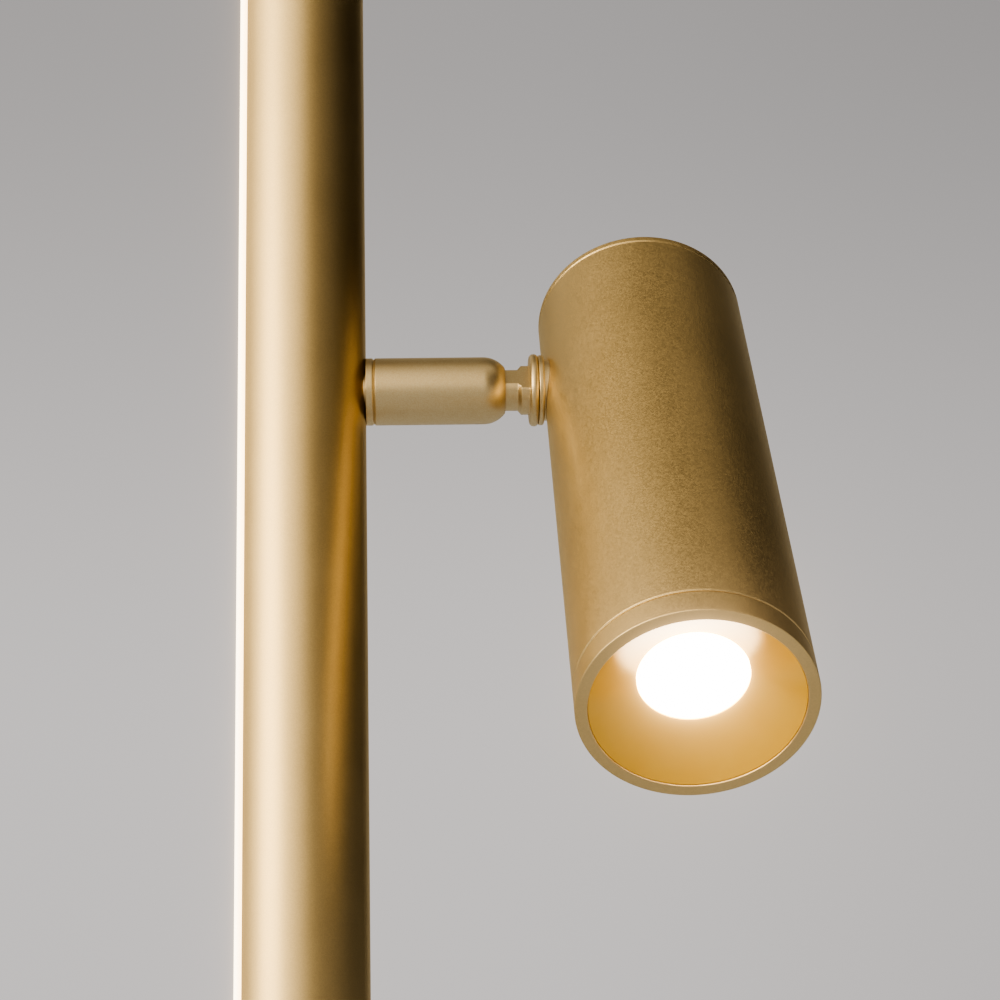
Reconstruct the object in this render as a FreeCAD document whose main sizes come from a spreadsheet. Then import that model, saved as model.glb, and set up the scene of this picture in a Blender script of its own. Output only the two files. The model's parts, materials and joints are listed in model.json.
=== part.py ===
import FreeCAD, Part
import math
import os
import Sketcher
from FreeCAD import Placement, Rotation, Vector

# Floor-to-ceiling tension pole lamp with a light line along the pole and one swivelling spot head.
# Millimetres. +Z is up, the origin is the centre of the floor pad's underside, the arm points along +X
# and the light line faces -X. The spot head hangs on the arm's axis, pitched towards -Y and down.

# ---------------------------------------------------------------- driving dimensions
SIZES = {
    # floor end
    "foot_radius": 60.0,
    "foot_plate_thickness": 8.0,
    "foot_edge_round": 2.5,
    "floor_pad_thickness": 3.0,
    "floor_pad_inset": 2.0,
    "spigot_length": 40.0,
    "foot_screw_radius": 4.0,
    "foot_screw_length": 26.0,
    "foot_screw_head_radius": 6.5,
    "foot_screw_head_height": 4.6,
    "grub_radius": 2.4,
    "grub_length": 7.0,
    "grub_sunk": 0.3,
    # pole
    "pole_radius": 17.5,
    "pole_wall": 2.2,
    "light_tube_length": 1629.0,
    "channel_half_width": 9.15,
    "channel_ledge_depth": 5.1,
    "channel_ledge_width": 2.1,
    "channel_depth": 9.3,
    "channel_web": 1.7,
    "diffuser_wall": 1.9,
    "diffuser_leg": 1.6,
    "board_width": 12.0,
    "board_thickness": 1.0,
    "board_end_gap": 4.0,
    "chip_length": 3.5,
    "chip_width": 2.8,
    "chip_thickness": 0.8,
    "chip_pitch": 25.0,
    # mains inlet and driver
    "gland_height": 70.0,
    "cord_hole_radius": 3.1,
    "gland_shank_radius": 4.5,
    "gland_flange_radius": 7.0,
    "gland_flange_thickness": 2.6,
    "gland_shank_depth": 7.5,
    "small_nut_radius": 6.3,
    "small_nut_thickness": 3.0,
    "driver_bottom": 100.0,
    "driver_width": 15.0,
    "driver_depth": 16.0,
    "driver_length": 130.0,
    "wire_radius": 1.6,
    "wire_bend_radius": 9.0,
    # push-button dimmer
    "button_below_arm": 350.0,
    "button_radius": 4.6,
    "button_stand_out": 2.2,
    "button_travel": 1.2,
    "button_flange_radius": 5.3,
    "button_flange_thickness": 1.6,
    "bezel_flange_radius": 8.0,
    "bezel_flange_thickness": 1.6,
    "bezel_shank_radius": 6.5,
    "bezel_shank_depth": 10.0,
    "button_nut_radius": 8.4,
    "button_nut_thickness": 2.6,
    "switch_body_size": 8.0,
    "switch_body_depth": 3.0,
    # telescoping upper half
    "coupling_flange_thickness": 3.0,
    "coupling_lower_spigot": 40.0,
    "coupling_upper_spigot": 20.0,
    "coupling_bore_radius": 5.0,
    "sleeve_length": 537.0,
    "sleeve_wall": 2.0,
    "mast_radius": 14.0,
    "mast_wall": 1.4,
    "mast_length": 536.0,
    "mast_overlap": 280.0,
    "bush_length": 30.0,
    "bush_lip": 4.0,
    "collar_radius": 20.5,
    "collar_height": 36.0,
    "collar_skirt": 12.0,
    "collar_lip": 3.0,
    "collar_flute_radius": 2.4,
    "collar_flute_depth": 0.7,
    "collar_flute_inset": 3.6,
    "collar_flute_count": 18,
    "collar_edge": 1.2,
    "collet_thickness": 2.9,
    "collet_slit": 2.0,
    # sprung ceiling end
    "end_bush_length": 20.0,
    "end_bush_flange": 4.0,
    "rod_radius": 6.0,
    "rod_exposed": 36.0,
    "piston_height": 8.0,
    "spring_wire_radius": 1.1,
    "spring_radius": 9.6,
    "spring_length": 103.0,
    "spring_turns": 14,
    "spring_stop_thickness": 8.0,
    "cup_radius": 40.0,
    "cup_thickness": 8.0,
    "cup_hub_radius": 12.0,
    "cup_hub_height": 10.0,
    "cup_edge": 1.5,
    "ceiling_pad_thickness": 6.0,
    "cup_screw_radius": 2.5,
    "cup_screw_length": 16.0,
    # arm
    "arm_below_top": 190.0,
    "arm_radius": 9.2,
    "arm_ring_thickness": 2.2,
    "arm_groove": 0.45,
    "arm_reach": 57.1,
    "arm_dome_round": 7.5,
    "arm_nipple_radius": 5.0,
    "arm_nipple_bore": 3.0,
    "arm_nipple_inner_x": 7.0,
    "arm_spigot_radius": 7.4,
    "arm_spigot_length": 8.0,
    "arm_washer_radius": 7.0,
    "arm_washer_thickness": 1.0,
    "arm_nut_radius": 7.9,
    "arm_nut_thickness": 4.0,
    "arm_cavity_radius": 7.6,
    "arm_shoulder_x": 50.5,
    "friction_washer_thickness": 0.9,
    "stud_flange_radius": 7.3,
    "stud_flange_thickness": 3.4,
    "spring_washer_thickness": 0.8,
    "spring_washer_rise": 0.5,
    # stud between the arm and the head
    "neck_radius": 5.6,
    "collar_x": 59.8,
    "stud_collar_radius": 6.7,
    "disc_x": 62.2,
    "disc_radius": 9.9,
    "disc_thickness": 2.45,
    "disc_round": 1.15,
    "stud_bore": 2.6,
    "stud_flat": 4.9,
    "stud_flat_turn": 31.0,
    "stud_flat_behind_mouth": 2.6,
    "jam_ring_radius": 9.6,
    "jam_ring_thickness": 1.5,
    "jam_ring_edge": 0.35,
    "saddle_radius": 8.4,
    "saddle_least": 0.35,
    # spot head
    "head_pitch": 37.35,
    "head_radius": 28.8,
    "head_wall": 1.8,
    "head_front": 130.8,
    "head_rear": 33.6,
    "bezel_band": 7.2,
    "bezel_lip_radius": 25.75,
    "bezel_lip_depth": 0.9,
    "bezel_spigot_length": 7.0,
    "bezel_spigot_wall": 0.9,
    "rim_edge": 0.3,
    "rear_cap_band": 2.8,
    "rear_cap_edge": 0.7,
    "rear_cap_spigot": 8.0,
    "seam_edge": 0.25,
    "reflector_mouth_radius": 25.2,
    "reflector_wall": 1.4,
    "lens_radius": 13.5,
    "lens_depth": 10.2,
    "lens_thickness": 2.0,
    "lens_ring_width": 2.5,
    "lens_ring_thickness": 1.1,
    "led_board_radius": 24.0,
    "led_board_thickness": 1.6,
    "board_screw_circle": 19.0,
    "board_screw_radius": 1.5,
    "board_screw_head_radius": 2.8,
    "board_screw_head_height": 1.8,
    "board_screw_length": 5.0,
    "sink_base": 6.0,
    "sink_length": 63.0,
    "sink_core_radius": 8.0,
    "sink_bore": 4.0,
    "fin_thickness": 1.5,
    "fin_count": 20,
    "inner_saddle_x": 22.5,
    "inner_saddle_radius": 8.0,
    "head_nut_radius": 8.0,
    "head_nut_thickness": 4.0,
    "stud_thread_end": 17.6,
    # fits
    "running_clearance": 0.05,
    "slip_clearance": 0.1,
    "loose_clearance": 0.3,
    "thread_clearance": 0.05,
}

# Shares that follow the piece they are on.
SOFT_EDGE = 0.4       # a rounded edge, of the wall it is on
LIGHT_EDGE = 0.25     # a broken edge, of the wall it is on
KEY_WIDTH = 0.65      # a key socket's corner radius, of the screw's radius
KEY_DEPTH = 0.75      # a key socket's depth, of the screw's radius
PAST = 1.0            # how far a cutting tool runs past the face that it opens, in millimetres

doc = FreeCAD.newDocument("tension_pole_lamp")
sheet = doc.addObject("Spreadsheet::Sheet", "Sizes")
for row, (alias, value) in enumerate(SIZES.items(), start=1):
    sheet.set(f"A{row}", alias)
    sheet.set(f"B{row}", str(value))
    sheet.setAlias(f"B{row}", alias)
doc.recompute()


# ---------------------------------------------------------------- sizes with their sheet expressions
class Size:
    """A length worked out from the sheet: its number, and the expression that gives it."""

    def __init__(self, value, text):
        self.value = float(value)
        self.text = text

    def __add__(self, other):
        other = as_size(other)
        return Size(self.value + other.value, f"({self.text} + {other.text})")

    def __sub__(self, other):
        other = as_size(other)
        return Size(self.value - other.value, f"({self.text} - {other.text})")

    def __mul__(self, other):
        other = as_size(other)
        return Size(self.value * other.value, f"({self.text} * {other.text})")

    def __truediv__(self, other):
        other = as_size(other)
        return Size(self.value / other.value, f"({self.text} / {other.text})")

    def __radd__(self, other):
        return as_size(other) + self

    def __rsub__(self, other):
        return as_size(other) - self

    def __rmul__(self, other):
        return as_size(other) * self

    def __neg__(self):
        return Size(-self.value, f"(-1 * {self.text})")


def as_size(value):
    return value if isinstance(value, Size) else Size(value, repr(float(value)))


def leg(hypotenuse, other_leg):
    """The remaining leg of a right triangle, such as how far out a round wall lies at a given offset."""
    long, short = as_size(hypotenuse), as_size(other_leg)
    value = math.sqrt(long.value ** 2 - short.value ** 2)
    return Size(value, f"sqrt({long.text} * {long.text} - {short.text} * {short.text})")


class Sheet:
    def __getattr__(self, alias):
        return Size(SIZES[alias], f"Sizes.{alias}")


s = Sheet()


# ---------------------------------------------------------------- how pieces are made and placed
UP = Rotation()
ALONG_X = Rotation(Vector(0, 1, 0), 90)
ALONG_Y = Rotation(Vector(-1, 0, 0), 90)
PARTS = []


def bind(thing, **sizes):
    """Set each named property from a Size and tie it to the sheet."""
    for name, size in sizes.items():
        size = as_size(size)
        setattr(thing, name, size.value)
        if "Sizes." in size.text:
            thing.setExpression(name, size.text)


def put(thing, at=(0, 0, 0), turn=UP):
    """Place a piece or a tool, and tie where it stands to the sheet."""
    sizes = [as_size(value) for value in at]
    thing.Placement = Placement(Vector(*[size.value for size in sizes]), turn)
    for axis, size in zip("xyz", sizes):
        if "Sizes." in size.text:
            thing.setExpression(f"Placement.Base.{axis}", size.text)
    return thing


def keep(thing, label):
    """Name a finished sub-part. Its label is the name of its file."""
    thing.Label = label
    PARTS.append(thing)
    return thing


def on_floor(thing):
    return put(thing)


def on_arm(thing, roll=0.0):
    """Turn the piece's own Z onto the arm's axis, with its zero at the pole's axis."""
    return put(thing, (0, 0, arm_height), ALONG_X * Rotation(Vector(0, 0, 1), roll))


def in_head(thing):
    """Set a piece made in the head's own frame: zero on the arm's axis, Z along the head to its rear."""
    put(thing, (head_x, 0, arm_height), Rotation(Vector(-1, 0, 0), s.head_pitch.value))
    thing.setExpression("Placement.Rotation.Angle", s.head_pitch.text)
    return thing


def cylinder(radius, height, at=(0, 0, 0), turn=UP, angle=360):
    tool = doc.addObject("Part::Cylinder", "Round")
    bind(tool, Radius=radius, Height=height)
    tool.Angle = angle
    return put(tool, at, turn)


def box(size, at):
    tool = doc.addObject("Part::Box", "Block")
    bind(tool, Length=size[0], Width=size[1], Height=size[2])
    return put(tool, at)


def hex_prism(radius, height, at=(0, 0, 0), turn=UP):
    tool = doc.addObject("Part::Prism", "Hexagon")
    tool.Polygon = 6
    bind(tool, Circumradius=radius, Height=height)
    return put(tool, at, turn)


def fuse(*shapes):
    joined = doc.addObject("Part::MultiFuse", "Joined")
    joined.Shapes = list(shapes)
    return joined


def group(shapes):
    """Separate solids that share one sub-part."""
    members = doc.addObject("Part::Compound", "Group")
    members.Links = list(shapes)
    return members


def common(first, second):
    both = doc.addObject("Part::Common", "Both")
    both.Base = first
    both.Tool = second
    return both


def cut(base, *tools):
    result = doc.addObject("Part::Cut", "CutAway")
    result.Base = base
    result.Tool = fuse(*tools) if len(tools) > 1 else tools[0]
    return result


def origin_feature(body, role):
    return next(feature for feature in body.Origin.OriginFeatures if feature.Role == role)


def turned(name, profile):
    """A body turned about its own Z from a closed half outline of (radius, height) corners."""
    body = doc.addObject("PartDesign::Body", name)
    sketch = body.newObject("Sketcher::SketchObject", "Outline")
    sketch.AttachmentSupport = [(origin_feature(body, "XZ_Plane"), "")]
    sketch.MapMode = "FlatFace"
    corners = [(as_size(radius), as_size(height)) for radius, height in profile]
    points = [Vector(radius.value, height.value, 0) for radius, height in corners]
    for index, point in enumerate(points):
        sketch.addGeometry(Part.LineSegment(point, points[(index + 1) % len(points)]), False)
    for index in range(len(points)):
        sketch.addConstraint(Sketcher.Constraint("Coincident", index, 2, (index + 1) % len(points), 1))
    for index, corner in enumerate(corners):
        for kind, size in zip(("DistanceX", "DistanceY"), corner):
            place = sketch.addConstraint(Sketcher.Constraint(kind, -1, 1, index, 1, size.value))
            if "Sizes." in size.text:
                sketch.setExpression(f"Constraints[{place}]", size.text)
    turn = body.newObject("PartDesign::Revolution", "Turned")
    turn.Profile = sketch
    turn.ReferenceAxis = (sketch, ["V_Axis"])
    turn.Angle = 360
    doc.recompute()
    return body


def ring(name, inner, outer, low, high):
    return turned(name, [(inner, low), (outer, low), (outer, high), (inner, high)])


def drill(body, radius, length, at, turn=UP):
    """Cut a round hole in a body, from a point given in the body's own frame."""
    hole = body.newObject("PartDesign::SubtractiveCylinder", "Hole")
    bind(hole, Radius=radius, Height=length)
    put(hole, at, turn)
    doc.recompute()
    return hole


def mill(body, size, at, turn=UP):
    """Cut a block out of a body."""
    slot = body.newObject("PartDesign::SubtractiveBox", "Slot")
    bind(slot, Length=size[0], Width=size[1], Height=size[2])
    put(slot, at, turn)
    doc.recompute()
    return slot


def repeat(body, feature, count):
    """Repeat a feature evenly round the body's Z."""
    pattern = body.newObject("PartDesign::PolarPattern", "Repeated")
    pattern.Originals = [feature]
    pattern.Axis = (origin_feature(body, "Z_Axis"), [""])
    pattern.Angle = 360
    bind_count = as_size(count)
    pattern.Occurrences = int(bind_count.value)
    pattern.setExpression("Occurrences", bind_count.text)
    body.Tip = pattern
    doc.recompute()
    return pattern


def dress(body, kind, radius, rims):
    """Round or chamfer the circular edges that have one of the given (radius, height) pairs."""
    tip = body.Tip
    wanted = [(as_size(rim).value, as_size(height).value) for rim, height in rims]
    names = []
    for index, edge in enumerate(tip.Shape.Edges, start=1):
        if not isinstance(edge.Curve, Part.Circle):
            continue
        for rim, height in wanted:
            if abs(edge.Curve.Radius - rim) < 1e-4 and abs(edge.Curve.Center.z - height) < 1e-4:
                names.append(f"Edge{index}")
    feature = body.newObject(f"PartDesign::{kind}", kind)
    feature.Base = (tip, names)
    bind(feature, **{"Radius" if kind == "Fillet" else "Size": radius})
    doc.recompute()
    return feature


# ---------------------------------------------------------------- levels and stations
pole_bottom = s.floor_pad_thickness + s.foot_plate_thickness
pole_bore = s.pole_radius - s.pole_wall
pole_top = pole_bottom + s.light_tube_length
arm_height = pole_top - s.arm_below_top
button_height = arm_height - s.button_below_arm
web_face = s.pole_radius - s.channel_depth - s.channel_web    # inner face of the web, towards -X
channel_floor = s.pole_radius - s.channel_depth
ledge_x = s.pole_radius - s.channel_ledge_depth

sleeve_bottom = pole_top + s.coupling_flange_thickness
sleeve_top = sleeve_bottom + s.sleeve_length
sleeve_bore = s.pole_radius - s.sleeve_wall

mast_bore = s.mast_radius - s.mast_wall
mast_bottom = sleeve_top - s.mast_overlap
mast_top = mast_bottom + s.mast_length

end_bush_bottom = mast_top - s.end_bush_length
end_bush_top = mast_top + s.end_bush_flange
cup_bottom = end_bush_top + s.rod_exposed
cup_top = cup_bottom + s.cup_hub_height + s.cup_thickness
spring_top = end_bush_bottom - s.piston_height
spring_bottom = spring_top - s.spring_length

ring_x = s.pole_radius
barrel_x = ring_x + s.arm_ring_thickness
spigot_end_x = barrel_x + s.arm_spigot_length
stud_flange_end = s.arm_shoulder_x - s.friction_washer_thickness - s.slip_clearance
stud_flange_start = stud_flange_end - s.stud_flange_thickness
jam_ring_x = s.disc_x + s.disc_thickness
saddle_x = jam_ring_x + s.jam_ring_thickness
head_x = saddle_x + s.saddle_least + s.head_radius
head_bore = s.head_radius - s.head_wall
board_depth = s.lens_depth + s.lens_thickness + s.lens_ring_thickness
sink_depth = board_depth + s.led_board_thickness


def from_front(depth):
    """Height in the head's frame of a point this deep behind the front rim."""
    return depth - s.head_front


# ---------------------------------------------------------------- floor end
def make_floor_pad():
    radius = s.foot_radius - s.floor_pad_inset
    top = s.floor_pad_thickness
    pad = turned("FloorPad", [(0, 0), (radius, 0), (radius, top), (0, top)])
    dress(pad, "Chamfer", top * LIGHT_EDGE, [(radius, 0)])
    keep(on_floor(pad), "floor_pad")


def make_foot_plate():
    bottom = s.floor_pad_thickness
    head_room = s.foot_screw_head_height + s.loose_clearance
    head_hole = s.foot_screw_head_radius + s.loose_clearance
    shank_hole = s.foot_screw_radius + s.loose_clearance
    plate = turned("FootPlate", [
        (head_hole, bottom),
        (s.foot_radius, bottom),
        (s.foot_radius, pole_bottom),
        (shank_hole, pole_bottom),
        (shank_hole, bottom + head_room),
        (head_hole, bottom + head_room),
    ])
    dress(plate, "Fillet", s.foot_edge_round, [(s.foot_radius, pole_bottom)])
    dress(plate, "Chamfer", s.foot_edge_round * LIGHT_EDGE, [(s.foot_radius, bottom)])
    keep(on_floor(plate), "foot_plate")


def d_plug(radius, low, height):
    """A round plug with a flat towards the light channel, to fill the light tube's bore."""
    flat = web_face - s.slip_clearance
    width = radius * 2
    return common(
        cylinder(radius, height, (0, 0, low)),
        box((flat + radius, width, height), (-flat, -radius, low)),
    )


screw_height = pole_bottom + s.spigot_length / 2


def make_foot_spigot():
    plug = d_plug(pole_bore - s.slip_clearance, pole_bottom, s.spigot_length)
    thread = cylinder(s.foot_screw_radius + s.thread_clearance, s.spigot_length, (0, 0, pole_bottom))
    keep(cut(plug, thread, grub_hole(screw_height)), "foot_spigot")


def make_foot_screw():
    head_bottom = s.floor_pad_thickness + s.loose_clearance
    head_top = head_bottom + s.foot_screw_head_height
    screw = turned("FootScrew", [
        (0, head_bottom),
        (s.foot_screw_head_radius, head_bottom),
        (s.foot_screw_head_radius, head_top),
        (s.foot_screw_radius, head_top),
        (s.foot_screw_radius, head_top + s.foot_screw_length),
        (0, head_top + s.foot_screw_length),
    ])
    socket = screw.newObject("PartDesign::SubtractivePrism", "KeySocket")
    socket.Polygon = 6
    bind(socket, Circumradius=s.foot_screw_radius * KEY_WIDTH, Height=s.foot_screw_radius * KEY_DEPTH)
    put(socket, (0, 0, head_bottom))
    keep(on_floor(screw), "foot_screw")


def grub_hole(height):
    """Cross hole from the +Y side for a grub screw through a tube and into the plug inside it."""
    start = s.pole_radius - s.grub_length - s.grub_sunk * 2
    return cylinder(s.grub_radius + s.thread_clearance, s.grub_length + s.grub_sunk * 4, (0, start, height),
                    ALONG_Y)


def grub_screw(height):
    start = s.pole_radius - s.grub_length - s.grub_sunk
    blank = cylinder(s.grub_radius, s.grub_length, (0, start, height), ALONG_Y)
    socket_end = start + s.grub_length - s.grub_radius * KEY_DEPTH
    key = hex_prism(s.grub_radius * KEY_WIDTH, s.grub_radius, (0, socket_end, height), ALONG_Y)
    return cut(blank, key)


# ---------------------------------------------------------------- light tube and light line
def make_light_tube():
    """Round extrusion with a D-shaped bore and a stepped channel for the light line on its -X side."""
    length = s.light_tube_length
    bore = common(
        cylinder(pole_bore, length, (0, 0, pole_bottom)),
        box((web_face + pole_bore, pole_bore * 2, length), (-web_face, -pole_bore, pole_bottom)),
    )
    inner_half = s.channel_half_width - s.channel_ledge_width
    mouth = box((s.channel_ledge_depth, s.channel_half_width * 2, length),
                (-s.pole_radius, -s.channel_half_width, pole_bottom))
    trough = box((s.channel_depth, inner_half * 2, length), (-s.pole_radius, -inner_half, pole_bottom))
    holes = [
        cylinder(s.arm_nipple_radius + s.slip_clearance, s.pole_radius, (0, 0, arm_height), ALONG_X),
        cylinder(s.bezel_shank_radius + s.slip_clearance, s.pole_radius, (0, 0, button_height), ALONG_X),
        cylinder(s.gland_shank_radius + s.slip_clearance, s.pole_radius, (0, 0, s.gland_height), ALONG_Y),
        grub_hole(screw_height),
        grub_hole(coupling_screw_low),
    ]
    bar = cylinder(s.pole_radius, length, (0, 0, pole_bottom))
    keep(cut(bar, bore, mouth, trough, *holes), "light_tube")


def make_diffuser():
    """Opal cover: a slice of the pole's own round with two legs that stand on the channel's ledges."""
    half = s.channel_half_width - s.running_clearance
    length = s.light_tube_length
    slice_of_pole = common(
        cylinder(s.pole_radius, length, (0, 0, pole_bottom)),
        box((s.channel_ledge_depth, half * 2, length), (-s.pole_radius, -half, pole_bottom)),
    )
    hollow_half = half - s.diffuser_leg
    hollow = box((s.channel_ledge_depth - s.diffuser_wall + PAST, hollow_half * 2, length),
                 (-(s.pole_radius - s.diffuser_wall), -hollow_half, pole_bottom))
    keep(cut(slice_of_pole, hollow), "strip_diffuser")


def make_strip_board():
    length = s.light_tube_length - 2 * s.board_end_gap
    board = box((s.board_thickness, s.board_width, length),
                (-(channel_floor + s.board_thickness), -(s.board_width / 2), pole_bottom + s.board_end_gap))
    keep(board, "strip_board")


def make_strip_leds():
    count = int(sheet.light_tube_length / sheet.chip_pitch) - 1
    face = channel_floor + s.board_thickness + s.chip_thickness
    chips = []
    for index in range(count):
        height = pole_bottom + s.chip_pitch * (index + 1) - s.chip_length / 2
        chips.append(box((s.chip_thickness, s.chip_width, s.chip_length),
                         (-face, -(s.chip_width / 2), height)))
    keep(group(chips), "strip_leds")


# ---------------------------------------------------------------- mains inlet, driver and lead
def make_cord_gland():
    """Bushed inlet low on the back of the pole. Its Z runs out of the pole."""
    flange_x = s.pole_radius + s.running_clearance
    gland = turned("CordGland", [
        (s.cord_hole_radius, flange_x - s.gland_shank_depth),
        (s.gland_shank_radius, flange_x - s.gland_shank_depth),
        (s.gland_shank_radius, flange_x),
        (s.gland_flange_radius, flange_x),
        (s.gland_flange_radius, flange_x + s.gland_flange_thickness),
        (s.cord_hole_radius, flange_x + s.gland_flange_thickness),
    ])
    dress(gland, "Fillet", s.gland_flange_thickness * SOFT_EDGE,
          [(s.gland_flange_radius, flange_x + s.gland_flange_thickness)])
    keep(put(gland, (0, 0, s.gland_height), ALONG_Y), "cord_gland")

    seat = leg(pole_bore, s.small_nut_radius) - s.slip_clearance
    nut = hex_prism(s.small_nut_radius, s.small_nut_thickness,
                    (0, seat - s.small_nut_thickness, s.gland_height), ALONG_Y)
    hole = cylinder(s.gland_shank_radius + s.thread_clearance, pole_bore, (0, 0, s.gland_height), ALONG_Y)
    keep(cut(nut, hole), "gland_nut")


def make_driver():
    back = -(web_face - s.loose_clearance)
    driver = box((s.driver_depth, s.driver_width, s.driver_length),
                 (back, -(s.driver_width / 2), s.driver_bottom))
    keep(driver, "led_driver")


def make_pole_wire():
    """Lead from the driver up the bore, round one bend and into the arm's nipple."""
    bottom = s.driver_bottom + s.driver_length
    bend = s.wire_bend_radius
    riser = cylinder(s.wire_radius, arm_height - bend - bottom, (0, 0, bottom))
    corner = doc.addObject("Part::Torus", "Bend")
    bind(corner, Radius1=bend, Radius2=s.wire_radius)
    corner.Angle3 = 90
    put(corner, (bend, 0, arm_height - bend),
        Rotation(Vector(1, 0, 0), 90) * Rotation(Vector(0, 0, 1), 90))
    run = cylinder(s.wire_radius, spigot_end_x - bend, (bend, 0, arm_height), ALONG_X)
    keep(fuse(riser, corner, run), "pole_wire")


# ---------------------------------------------------------------- push-button dimmer
bezel_face_x = s.pole_radius + s.running_clearance


def make_button_bezel():
    """Threaded bushing with a round flange, its Z along +X."""
    flange_top = bezel_face_x + s.bezel_flange_thickness
    shank_start = bezel_face_x - s.bezel_shank_depth
    throat = s.button_radius + s.slip_clearance
    chamber = s.button_flange_radius + s.slip_clearance
    bezel = turned("ButtonBezel", [
        (chamber, shank_start),
        (s.bezel_shank_radius, shank_start),
        (s.bezel_shank_radius, bezel_face_x),
        (s.bezel_flange_radius, bezel_face_x),
        (s.bezel_flange_radius, flange_top),
        (throat, flange_top),
        (throat, bezel_face_x),
        (chamber, bezel_face_x),
    ])
    dress(bezel, "Fillet", s.bezel_flange_thickness * SOFT_EDGE, [(s.bezel_flange_radius, flange_top)])
    keep(put(bezel, (0, 0, button_height), ALONG_X), "button_bezel")

    seat = leg(pole_bore, s.button_nut_radius) - s.slip_clearance
    nut = hex_prism(s.button_nut_radius, s.button_nut_thickness,
                    (seat - s.button_nut_thickness, 0, button_height), ALONG_X)
    thread = s.bezel_shank_radius + s.thread_clearance
    keep(cut(nut, cylinder(thread, s.pole_radius, (0, 0, button_height), ALONG_X)), "button_nut")


def make_switch():
    """Button cap held behind the bezel's lip, over a small switch that fills the bushing's rear."""
    flange_top = bezel_face_x - s.running_clearance
    flange_bottom = flange_top - s.button_flange_thickness
    face = bezel_face_x + s.bezel_flange_thickness + s.button_stand_out
    button = turned("Button", [
        (0, flange_bottom),
        (s.button_flange_radius, flange_bottom),
        (s.button_flange_radius, flange_top),
        (s.button_radius, flange_top),
        (s.button_radius, face),
        (0, face),
    ])
    dress(button, "Fillet", s.button_stand_out * LIGHT_EDGE, [(s.button_radius, face)])
    keep(put(button, (0, 0, button_height), ALONG_X), "switch_button")

    gap = s.button_travel + s.loose_clearance
    shank_start = bezel_face_x - s.bezel_shank_depth
    plug_radius = s.button_flange_radius + s.slip_clearance - s.running_clearance
    plug_length = flange_bottom - gap - shank_start
    plug = cylinder(plug_radius, plug_length, (shank_start, 0, button_height), ALONG_X)
    block_size = s.switch_body_size
    block = box((s.switch_body_depth, block_size, block_size),
                (shank_start - s.switch_body_depth, -(block_size / 2), button_height - block_size / 2))
    keep(fuse(plug, block), "switch_body")


# ---------------------------------------------------------------- telescoping upper half
coupling_screw_low = pole_top - s.coupling_lower_spigot / 2
coupling_screw_high = sleeve_bottom + s.coupling_upper_spigot / 2


def make_coupling():
    low = pole_top - s.coupling_lower_spigot
    height = s.coupling_lower_spigot + s.coupling_flange_thickness + s.coupling_upper_spigot
    body = fuse(
        d_plug(pole_bore - s.slip_clearance, low, s.coupling_lower_spigot),
        cylinder(s.pole_radius, s.coupling_flange_thickness, (0, 0, pole_top)),
        cylinder(sleeve_bore - s.slip_clearance, s.coupling_upper_spigot, (0, 0, sleeve_bottom)),
    )
    bore = cylinder(s.coupling_bore_radius, height, (0, 0, low))
    keep(cut(body, bore, grub_hole(coupling_screw_low), grub_hole(coupling_screw_high)), "coupling")
    screws = [grub_screw(screw_height), grub_screw(coupling_screw_low), grub_screw(coupling_screw_high)]
    keep(group(screws), "grub_screws")


def make_sleeve_tube():
    wall = cylinder(s.pole_radius, s.sleeve_length, (0, 0, sleeve_bottom))
    bore = cylinder(sleeve_bore, s.sleeve_length, (0, 0, sleeve_bottom))
    keep(cut(wall, bore, grub_hole(coupling_screw_high)), "sleeve_tube")


def make_lock():
    """Twist collar over the top of the sleeve, squeezing a split collet onto the mast."""
    bottom = sleeve_top - s.collar_skirt
    top = bottom + s.collar_height
    lip = top - s.collar_lip
    collet_outer = s.mast_radius + s.running_clearance + s.collet_thickness
    cavity = collet_outer + s.slip_clearance
    collar = turned("LockCollar", [
        (s.pole_radius + s.running_clearance, bottom),
        (s.collar_radius, bottom),
        (s.collar_radius, top),
        (s.mast_radius + s.loose_clearance, top),
        (s.mast_radius + s.loose_clearance, lip),
        (cavity, lip),
        (cavity, sleeve_top + s.slip_clearance),
        (s.pole_radius + s.running_clearance, sleeve_top + s.slip_clearance),
    ])
    dress(collar, "Chamfer", s.collar_edge, [(s.collar_radius, bottom), (s.collar_radius, top)])
    flute = drill(collar, s.collar_flute_radius, s.collar_height - s.collar_flute_inset * 2,
                  (s.collar_radius + s.collar_flute_radius - s.collar_flute_depth, 0,
                   bottom + s.collar_flute_inset))
    repeat(collar, flute, s.collar_flute_count)
    keep(on_floor(collar), "lock_collar")

    collet = ring("Collet", s.mast_radius + s.running_clearance, collet_outer,
                  sleeve_top + s.slip_clearance, lip - s.slip_clearance)
    mill(collet, (collet_outer * 2, s.collet_slit, s.collar_height), (0, -(s.collet_slit / 2), sleeve_top))
    keep(on_floor(collet), "lock_collet")


def make_mast():
    mast = ring("Mast", mast_bore, s.mast_radius, mast_bottom, mast_top)
    keep(on_floor(mast), "upper_tube")

    outer = sleeve_bore - s.running_clearance
    low = mast_bottom - s.bush_lip
    bush = turned("SlideBush", [
        (mast_bore, low),
        (outer, low),
        (outer, low + s.bush_length),
        (s.mast_radius + s.slip_clearance, low + s.bush_length),
        (s.mast_radius + s.slip_clearance, mast_bottom),
        (mast_bore, mast_bottom),
    ])
    keep(on_floor(bush), "slide_bush")


# ---------------------------------------------------------------- sprung ceiling end
def make_spring_stop():
    bottom = spring_bottom - s.spring_stop_thickness
    stop = ring("SpringStop", s.foot_screw_radius, mast_bore - s.slip_clearance, bottom, spring_bottom)
    keep(on_floor(stop), "spring_stop")


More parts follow.
